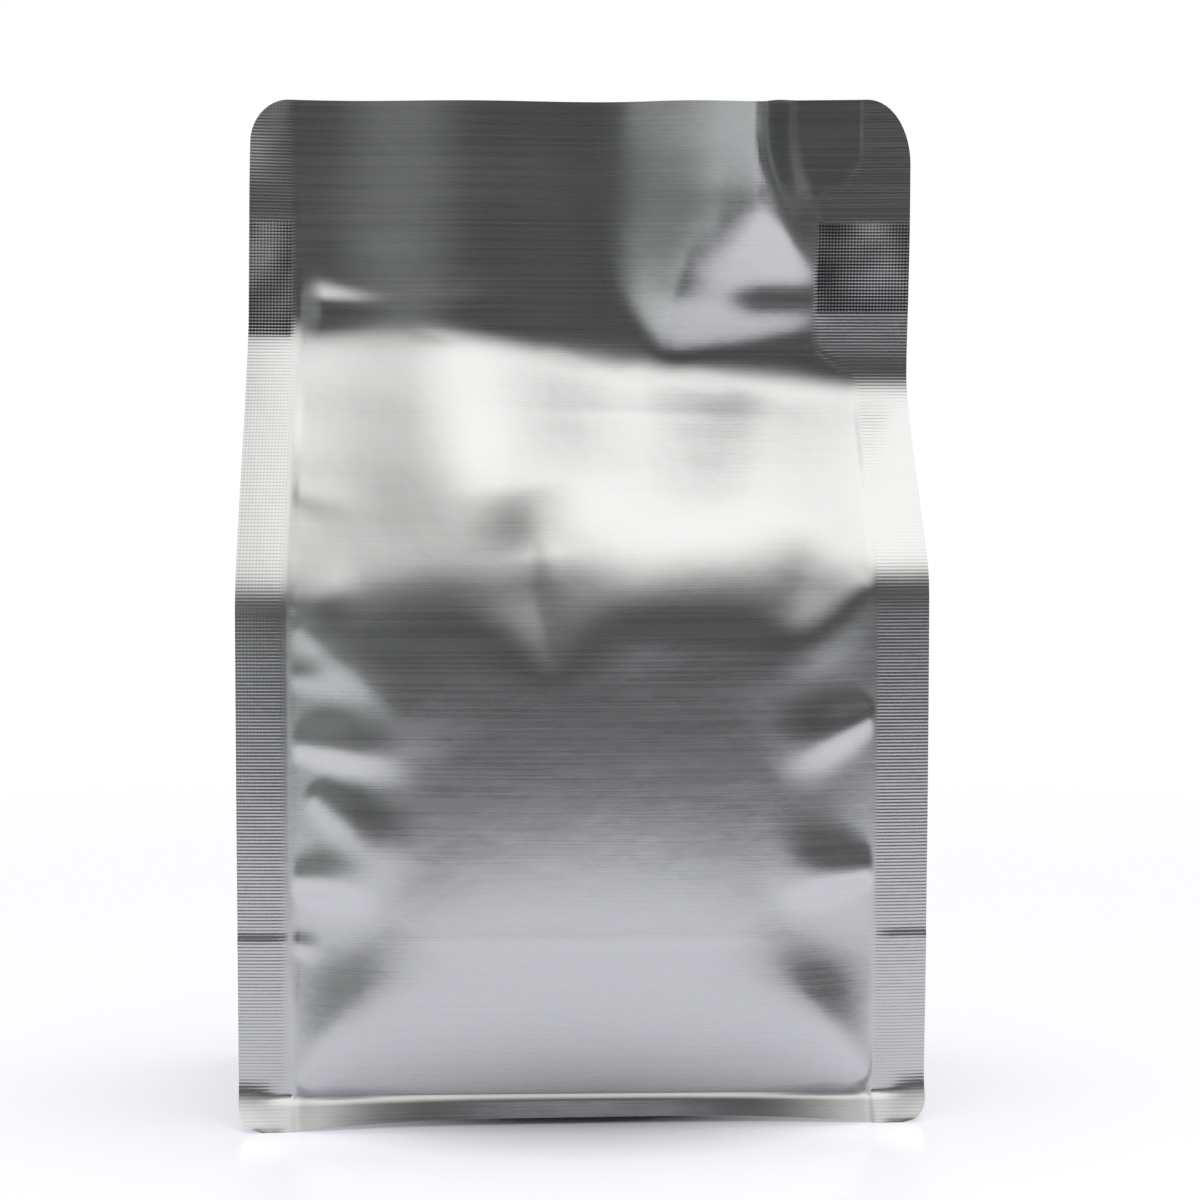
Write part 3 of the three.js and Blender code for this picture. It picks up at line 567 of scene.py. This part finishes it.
def fin_grid(facing, side, share, inner, level, down):
    """Points of a fin's outer or inner face; share runs from its root to its free edge."""
    root = side * ROOT_X + 0 * share * level
    z = level_z(root, 1, level, down)
    width = SEAL_WIDTH - corner_cut(side, z, BAG_HEIGHT - z)
    splay = FIN_SPLAY * share**2 * smooth(half_depth(root, z), *FIN_SPLAY_GROWS)
    below_cut = 1 - smooth(z, CUT_Z - CUT_HALF, CUT_Z + CUT_HALF)
    step = CUT_STEP * below_cut * smooth(z, CREASE_Z, FIN_FOOT_Z)
    x = side * (ROOT_X + share * width)
    flared = flare_at(x) * np.clip(1 - z / FIN_FOOT_Z, 0, 1) ** FIN_FOOT_POWER
    foot = mix(skirt_out(x, down), flared, smooth(share, 0, FIN_FOOT_BLEND))
    depth = half_depth(root, z) + foot + step - splay - (FILM if inner else 0)
    return settle(x, facing * depth, z), x, z


def gusset_grid(side, share, level, down):
    """Points of a side gusset; share runs from -1 at the front fin to 1 at the back fin."""
    edge = smooth(np.abs(share), *SKIRT_END)
    root = side * ROOT_X + 0 * share * level
    z = level_z(root, share, level, down)
    depth = share * (half_depth(root, z) + skirt_out(root, down) * edge - FILM)
    x = side * (ROOT_X + gusset_out(side, share, z) + SKIRT_FLARE_SIDE * down * (1 - edge))
    return settle(x, depth, z), depth, z


def ring_levels():
    """Heights of the outlines and how far down the skirt each is, from the skirt's edge to the top edge."""
    skirt = 1 - np.arange(SKIRT_STEPS) / SKIRT_STEPS
    head_foot = BAG_HEIGHT - TOP_CORNER_HEIGHT
    body = np.linspace(CREASE_Z, head_foot, BODY_STEPS + 1)
    turn = np.arange(1, CORNER_STEPS + 1) / CORNER_STEPS * math.pi / 2
    head = head_foot + TOP_CORNER_HEIGHT * np.sin(turn)
    level = np.concatenate([0 * skirt, body, head])
    down = np.concatenate([skirt, 0 * body, 0 * head])
    return level[:, None], down[:, None]


def bag_grid():
    """Points of the bag's wall by level and place round it, with the seal mask and flat place of each."""
    level, down = ring_levels()
    fin_shares = np.arange(1, FIN_STEPS + 1) / FIN_STEPS
    columns = []

    def add(grid, sealed):
        points, across, height = grid
        across, height = np.broadcast_arrays(across + 0 * level, height)
        columns.append((points, across, height, sealed + 0 * height))

    def add_fin(facing, side, outer_first):
        outwards, back = fin_shares[None, :], fin_shares[None, ::-1]
        for shares, inner in ((outwards, not outer_first), (back, outer_first)):
            grid = fin_grid(facing, side, shares, inner, level, down)
            add(grid, knurl_depth(side, grid[2]))

    def add_side(facing, side, steps):
        across = panel_places(side, steps)[None, :]
        panel = panel_grid(facing, across, level, down)
        pressed = wide_seal(panel[1], panel[2]) * knurl_depth(1, panel[2])
        add(panel, pressed if facing < 0 else 0.0)
        add_fin(facing, side, True)
        shares = facing * np.linspace(1, -1, GUSSET_STEPS + 1)[None, :]
        add(gusset_grid(side, shares, level, down), 0.0)
        add_fin(-facing, side, False)

    add_side(-1, 1, FRONT_STEPS)
    add_side(1, -1, BACK_STEPS)
    return [np.concatenate(parts, axis=1) for parts in zip(*columns)]


def knurl_depth(side, z):
    """How deep the knurl of a seal is: full on the fins, deeper in the pressed fields, faint on the skirt."""
    low, high = DEEP_KNURL_LEFT if side < 0 else DEEP_KNURL_RIGHT
    deep = smooth(z, low - DEEP_KNURL_EDGE, low) * (1 - smooth(z, high, high + DEEP_KNURL_EDGE))
    return mix(SKIRT_KNURL, 1, smooth(z, CREASE_Z, FIN_FOOT_Z)) + deep * (DEEP_KNURL - 1)


def base_loop(inset, height, down):
    """A loop under the bag, inside the skirt: the panels' and gussets' lines moved in, without the fins."""
    loops = []
    for facing, side, steps in ((-1, 1, FRONT_STEPS), (1, -1, BACK_STEPS)):
        x = panel_places(side, steps)
        depth = panel_depth("front" if facing < 0 else "back", x, crease_z(x)) + skirt_out(x, down) - inset
        z = skirt_z(x, x / ROOT_X, down) if down else height + 0 * x
        loops.append(settle(x * (ROOT_X - inset - FILM) / ROOT_X, facing * depth, z))
        share = facing * np.linspace(1, -1, GUSSET_STEPS + 1)
        edge = smooth(np.abs(share), *SKIRT_END)
        root = side * ROOT_X
        z = skirt_z(root, share, down) if down else CREASE_Z + 0 * share
        reach = half_depth(root, z) + skirt_out(root, down) * edge - inset - 2 * FILM
        x = side * (ROOT_X + gusset_out(side, share, z) + SKIRT_FLARE_SIDE * down * (1 - edge) - inset)
        loops.append(settle(x, share * reach, z if down else height + 0 * share))
    return np.concatenate(loops)


def ring_faces(low, high, count):
    """Quads between two rings of the same count, given the index of each ring's first point."""
    here = np.arange(count)
    after = (here + 1) % count
    return np.stack([low + here, low + after, high + after, high + here], axis=1)


def cap_faces(loops):
    """Triangles that fill a flat outline, with any further loops as holes, facing up."""
    points = np.concatenate([loop for loop, _ in loops])
    index = np.concatenate([start + np.arange(len(loop)) for loop, start in loops])
    flat = [[Vector((p[0], p[1], 0)) for p in loop] for loop, _ in loops]
    faces = []
    for a, b, c in tessellate_polygon(flat):
        turn = np.cross(points[b][:2] - points[a][:2], points[c][:2] - points[a][:2])
        faces.append((index[a], index[b], index[c]) if turn > 0 else (index[a], index[c], index[b]))
    return np.array(faces)


def make_bag():
    """The bag as one closed mesh on the floor, and the point of the straight bag that is now the origin."""
    points, across, height, sealed = bag_grid()
    rings, count = points.shape[:2]
    wall = points.reshape(-1, 3)
    top, rim = (rings - 1) * count, 0
    lip = base_loop(FILM, 0, 1)
    groove = base_loop(GROOVE_INSET, GROOVE_Z, 0)
    base = base_loop(BASE_INSET, 0, 0)
    lip_at = len(wall)
    groove_at = lip_at + len(lip)
    base_at = groove_at + len(groove)
    vertices = np.concatenate([wall, lip, groove, base])
    quads = [ring_faces(ring * count, (ring + 1) * count, count) for ring in range(rings - 1)]
    quads.append(ring_faces(groove_at, lip_at, len(lip)))
    quads.append(ring_faces(base_at, groove_at, len(lip)))
    caps = [cap_faces([(points[-1], top)])]
    caps.append(cap_faces([(points[0], rim), (lip, lip_at)])[:, ::-1])
    caps.append(cap_faces([(base, base_at)])[:, ::-1])

    low, high = vertices.min(axis=0), vertices.max(axis=0)
    middle = np.array([(low[0] + high[0]) / 2, (low[1] + high[1]) / 2, low[2]])
    mesh = bpy.data.meshes.new("bag_foil")
    faces = [face.tolist() for group in quads + caps for face in group]
    mesh.from_pydata(((vertices - middle) * MM).tolist(), [], faces)
    extra = len(vertices) - len(wall)
    store(mesh, "across", np.concatenate([across.ravel(), np.zeros(extra)]))
    store(mesh, "height", np.concatenate([height.ravel(), np.zeros(extra)]))
    store(mesh, "seal", np.concatenate([sealed.ravel(), np.zeros(extra)]))
    mesh.shade_smooth()
    mesh.set_sharp_from_angle(angle=math.radians(SHARP_ANGLE))
    for edge in mesh.edges:
        if max(edge.vertices) < count:
            edge.use_edge_sharp = True
    bag = bpy.data.objects.new("bag_foil", mesh)
    bpy.context.scene.collection.objects.link(bag)
    return bag, middle


def store(mesh, name, values):
    """Keeps one number for each point of the mesh, for the material to read."""
    attribute = mesh.attributes.new(name, "FLOAT", "POINT")
    attribute.data.foreach_set("value", np.asarray(values, dtype=np.float32))


class Nodes:
    """Short ways to add and link shader nodes."""

    def __init__(self, tree):
        self.tree = tree
        tree.nodes.clear()

    def add(self, kind, **settings):
        node = self.tree.nodes.new(kind)
        for name, value in settings.items():
            setattr(node, name, value)
        return node

    def put(self, socket, value):
        if isinstance(value, bpy.types.NodeSocket):
            self.tree.links.new(value, socket)
        else:
            socket.default_value = value

    def math(self, operation, *values):
        node = self.add("ShaderNodeMath", operation=operation)
        for socket, value in zip(node.inputs, values):
            self.put(socket, value)
        return node.outputs[0]

    def attribute(self, name):
        return self.add("ShaderNodeAttribute", attribute_name=name).outputs["Fac"]

    def vector(self, x, y, z):
        node = self.add("ShaderNodeCombineXYZ")
        for socket, value in zip(node.inputs, (x, y, z)):
            self.put(socket, value)
        return node.outputs[0]

    def noise(self, vector, scale, detail, roughness=0.5):
        node = self.add("ShaderNodeTexNoise", noise_dimensions="3D")
        self.put(node.inputs["Vector"], vector)
        self.put(node.inputs["Scale"], scale)
        self.put(node.inputs["Detail"], detail)
        self.put(node.inputs["Roughness"], roughness)
        return node.outputs["Fac"]

    def spread(self, value, low, high, to_low, to_high, kind="LINEAR"):
        node = self.add("ShaderNodeMapRange", interpolation_type=kind)
        for socket, given in zip(node.inputs, (value, low, high, to_low, to_high)):
            self.put(socket, given)
        return node.outputs[0]


# Foil, with reliefs in millimetres
FOIL_COLOUR = (0.535, 0.54, 0.55, 1)
FOIL_ROUGHNESS = 0.28
KNURL_PITCH = 0.68
KNURL_POSTS = 0.5  # height of the knurl's upright ribs against its level ones
KNURL_RELIEF = 0.012
LINE_SCALE = 3.2
LINE_STRETCH = 0.012  # how little the rolling lines change along their length
LINE_RELIEF = 0.009
MOTTLE_SCALE = 0.13
MOTTLE_RELIEF = 0.09
BAND_SCALE = 1.6  # wider bands of slightly different tone and gloss among the lines
BAND_STRETCH = 0.006
BAND_RANGE = (0.4, 0.6)
BAND_CHANGE = 0.015
DEEP_VALLEY_SHADE = (0.06, 0.061, 0.064, 1)  # painted shade in the valleys of the knurl where it is pressed deepest
# knurl heights over which the painted valley shade gives way to the foil's colour on the crests
DEEP_CRESTS = (-0.2, 1.2)
DEEP_PATCH_SCALE = 0.07  # where the painted valley shade of the deep knurl is weaker and stronger, at random
DEEP_PATCH_RANGE = (0.35, 0.65)
DEEP_PATCH = 0.7


def foil_material():
    """Satin aluminium foil laminate with fine level rolling lines and knurled heat seals, with painted shade
    in the valleys of the deepest knurl.
    """
    material = bpy.data.materials.new("foil")
    material.use_nodes = True
    nodes = Nodes(material.node_tree)
    across, height, seal = nodes.attribute("across"), nodes.attribute("height"), nodes.attribute("seal")

    along = nodes.math("MULTIPLY", across, BAND_STRETCH)
    bands = nodes.noise(nodes.vector(along, 0.0, height), BAND_SCALE, 1.0)
    bars = nodes.math("SINE", nodes.math("MULTIPLY", height, 2 * math.pi / KNURL_PITCH))
    posts = nodes.math("SINE", nodes.math("MULTIPLY", across, 2 * math.pi / KNURL_PITCH))
    cells = nodes.math("ADD", bars, nodes.math("MULTIPLY", posts, KNURL_POSTS))
    knurl = nodes.math("MULTIPLY", cells, seal)

    along = nodes.math("MULTIPLY", across, LINE_STRETCH)
    lines = nodes.noise(nodes.vector(along, 0.0, height), LINE_SCALE, 1.0)
    mottle = nodes.noise(nodes.vector(across, 0.0, height), MOTTLE_SCALE, 2.0)
    rolled = nodes.math("MULTIPLY", lines, LINE_RELIEF)
    uneven = nodes.math("ADD", rolled, nodes.math("MULTIPLY", mottle, MOTTLE_RELIEF))
    relief = nodes.math("ADD", nodes.math("MULTIPLY", knurl, KNURL_RELIEF), uneven)
    bump = nodes.add("ShaderNodeBump")
    bump.inputs["Strength"].default_value = 1.0
    bump.inputs["Distance"].default_value = MM
    nodes.put(bump.inputs["Height"], relief)

    tint = nodes.add("ShaderNodeMix", data_type="RGBA")
    nodes.put(tint.inputs["Factor"], nodes.spread(bands, *BAND_RANGE, 0.0, 1.0))
    tint.inputs["A"].default_value = tuple((1 - BAND_CHANGE) * c for c in FOIL_COLOUR[:3]) + (1,)
    tint.inputs["B"].default_value = tuple((1 + BAND_CHANGE) * c for c in FOIL_COLOUR[:3]) + (1,)

    # painted shade: the knurl's valleys in the deep fields take a dark colour, and its crests take the foil's
    patch = nodes.noise(nodes.vector(across, 0.0, height), DEEP_PATCH_SCALE, 1.0)
    crests = nodes.math("ADD", cells, nodes.spread(patch, *DEEP_PATCH_RANGE, -DEEP_PATCH, DEEP_PATCH))
    deep = nodes.add("ShaderNodeMix", data_type="RGBA")
    nodes.put(deep.inputs["Factor"], nodes.spread(crests, *DEEP_CRESTS, 0.0, 1.0))
    deep.inputs["A"].default_value = DEEP_VALLEY_SHADE
    deep.inputs["B"].default_value = FOIL_COLOUR

    # the deep pressed fields show the painted valley shade, and the rest shows the banded foil
    pressed = nodes.add("ShaderNodeMix", data_type="RGBA")
    nodes.put(pressed.inputs["Factor"], nodes.spread(seal, 1.0, DEEP_KNURL, 0.0, 1.0))
    nodes.put(pressed.inputs["A"], tint.outputs["Result"])
    nodes.put(pressed.inputs["B"], deep.outputs["Result"])

    shader = nodes.add("ShaderNodeBsdfPrincipled")
    shader.inputs["Metallic"].default_value = 1.0
    nodes.put(shader.inputs["Base Color"], pressed.outputs["Result"])
    smoothest, roughest = FOIL_ROUGHNESS - BAND_CHANGE, FOIL_ROUGHNESS + BAND_CHANGE
    nodes.put(shader.inputs["Roughness"], nodes.spread(bands, *BAND_RANGE, smoothest, roughest))
    nodes.put(shader.inputs["Normal"], bump.outputs[0])
    output = nodes.add("ShaderNodeOutputMaterial")
    nodes.put(output.inputs["Surface"], shader.outputs[0])
    return material


# Floor, in metres
FLOOR_RADIUS = 1.6
FLOOR_SIDES = 96
FLOOR_COLOUR = (0.90, 0.905, 0.965, 1)
FLOOR_ROUGHNESS = 0.2
FLOOR_GLOSS = 0.25
FLOOR_GLOW = 0.36
FLOOR_SHADE = (0.035, 0.07)  # distances from the middle between which the floor begins to glow
FLOOR_NEAR, FLOOR_FAR = 0.2, 0.65  # and between which it thins out


def make_floor():
    """A round pale floor that thins out into the backdrop."""
    mesh = bpy.data.meshes.new("floor")
    turn = np.arange(FLOOR_SIDES) / FLOOR_SIDES * 2 * math.pi
    rim = np.stack([np.cos(turn), np.sin(turn), 0 * turn], axis=1) * FLOOR_RADIUS
    mesh.from_pydata(rim.tolist(), [], [list(range(len(rim)))])
    floor = bpy.data.objects.new("floor", mesh)
    bpy.context.scene.collection.objects.link(floor)
    material = bpy.data.materials.new("floor")
    material.use_nodes = True
    nodes = Nodes(material.node_tree)
    place = nodes.add("ShaderNodeTexCoord").outputs["Object"]
    distance = nodes.add("ShaderNodeVectorMath", operation="LENGTH")
    nodes.put(distance.inputs[0], place)
    shader = nodes.add("ShaderNodeBsdfPrincipled")
    shader.inputs["Base Color"].default_value = FLOOR_COLOUR
    shader.inputs["Roughness"].default_value = FLOOR_ROUGHNESS
    shader.inputs["Specular IOR Level"].default_value = FLOOR_GLOSS
    shader.inputs["Emission Color"].default_value = FLOOR_COLOUR
    away = distance.outputs["Value"]
    nodes.put(shader.inputs["Emission Strength"], nodes.spread(away, *FLOOR_SHADE, 0.0, FLOOR_GLOW))
    clear = nodes.add("ShaderNodeBsdfTransparent")
    blend = nodes.add("ShaderNodeMixShader")
    nodes.put(blend.inputs[0], nodes.spread(away, FLOOR_NEAR, FLOOR_FAR, 0.0, 1.0, "SMOOTHSTEP"))
    nodes.put(blend.inputs[1], shader.outputs[0])
    nodes.put(blend.inputs[2], clear.outputs[0])
    output = nodes.add("ShaderNodeOutputMaterial")
    nodes.put(output.inputs["Surface"], blend.outputs[0])
    mesh.materials.append(material)


# Light, with elevations in degrees and sides as parts of a unit direction
BACKDROP = (1.0, 1.0, 1.0, 1)
OVERHEAD = (1.0, 0.985, 0.955, 1)
OVERHEAD_STRENGTH = 1.85
OVERHEAD_RISE = (12, 80)  # elevations between which the studio turns bright
OVERHEAD_SIDES = (-0.6, 0.1)
OVERHEAD_LEFT = 0.62  # share of the overhead light that is left on the far left
HORIZON = (0.97, 1.0, 0.98, 1)
HORIZON_FRONT, HORIZON_LEFT, HORIZON_RIGHT = 0.075, 1.1, 0.25  # strengths
LEFT_SIDES = (-0.1, -0.6)
RIGHT_SIDES = (0.2, 0.8)
BEHIND_SIDES = (-0.3, 0.4)
LOW_RISE = (4.0, -16.0)  # the light from the sides is strongest near the floor
LOW_SHARE = 0.15
BELOW_RISE = (-25.0, 0.0)
BELOW_SHARE = 0.5


def make_light():
    """A wide soft light overhead in a dim studio, with a white backdrop behind everything the camera sees."""
    world = bpy.data.worlds.new("studio")
    world.use_nodes = True
    bpy.context.scene.world = world
    nodes = Nodes(world.node_tree)
    direction = nodes.add("ShaderNodeSeparateXYZ")
    nodes.put(direction.inputs[0], nodes.add("ShaderNodeTexCoord").outputs["Generated"])
    aside, ahead = direction.outputs["X"], direction.outputs["Y"]
    rise = nodes.math("DEGREES", nodes.math("ARCSINE", direction.outputs["Z"]))
    overhead = nodes.spread(rise, *OVERHEAD_RISE, 0.0, 1.0, "SMOOTHSTEP")
    left = nodes.spread(aside, *LEFT_SIDES, 0.0, HORIZON_LEFT, "SMOOTHSTEP")
    right = nodes.spread(aside, *RIGHT_SIDES, 0.0, HORIZON_RIGHT, "SMOOTHSTEP")
    behind = nodes.spread(ahead, *BEHIND_SIDES, 0.0, HORIZON_RIGHT, "SMOOTHSTEP")
    low = nodes.spread(rise, *LOW_RISE, LOW_SHARE, 1.0, "SMOOTHSTEP")
    beside = nodes.math("MULTIPLY", nodes.math("ADD", left, right), low)
    sides = nodes.math("MAXIMUM", beside, behind)
    below = nodes.spread(rise, *BELOW_RISE, BELOW_SHARE, 1.0)
    dim = nodes.math("MULTIPLY", nodes.math("ADD", sides, HORIZON_FRONT), below)
    across = nodes.spread(aside, *OVERHEAD_SIDES, OVERHEAD_LEFT, 1.0, "SMOOTHSTEP")

    ceiling = nodes.add("ShaderNodeBackground")
    ceiling.inputs["Color"].default_value = OVERHEAD
    nodes.put(ceiling.inputs["Strength"], nodes.math("MULTIPLY", across, OVERHEAD_STRENGTH))
    walls = nodes.add("ShaderNodeBackground")
    walls.inputs["Color"].default_value = HORIZON
    nodes.put(walls.inputs["Strength"], dim)
    studio = nodes.add("ShaderNodeMixShader")
    nodes.put(studio.inputs[0], overhead)
    nodes.put(studio.inputs[1], walls.outputs[0])
    nodes.put(studio.inputs[2], ceiling.outputs[0])
    backdrop = nodes.add("ShaderNodeBackground")
    backdrop.inputs["Color"].default_value = BACKDROP
    backdrop.inputs["Strength"].default_value = 1.0
    blend = nodes.add("ShaderNodeMixShader")
    nodes.put(blend.inputs[0], nodes.add("ShaderNodeLightPath").outputs["Is Camera Ray"])
    nodes.put(blend.inputs[1], studio.outputs[0])
    nodes.put(blend.inputs[2], backdrop.outputs[0])
    output = nodes.add("ShaderNodeOutputWorld")
    nodes.put(output.inputs["Surface"], blend.outputs[0])


def make_camera(middle):
    """A camera at the photograph's viewing angle."""
    azimuth = math.radians(VIEW_AZIMUTH)
    elevation = math.radians(VIEW_ELEVATION)
    level = math.cos(elevation)
    back = Vector((math.sin(azimuth) * level, -math.cos(azimuth) * level, math.sin(elevation)))
    target = (Vector(VIEW_TARGET) - Vector(middle)) * MM
    data = bpy.data.cameras.new("camera")
    data.angle = math.radians(VIEW_ANGLE)
    camera = bpy.data.objects.new("camera", data)
    camera.location = target + back * VIEW_DISTANCE * MM
    camera.rotation_euler = back.to_track_quat("Z", "Y").to_euler()
    bpy.context.scene.collection.objects.link(camera)
    bpy.context.scene.camera = camera


bag, middle = make_bag()
bag.data.materials.append(foil_material())
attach(bag, "root")
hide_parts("bag")
make_floor()
make_light()
make_camera(middle)
bpy.context.scene.view_settings.view_transform = "Standard"
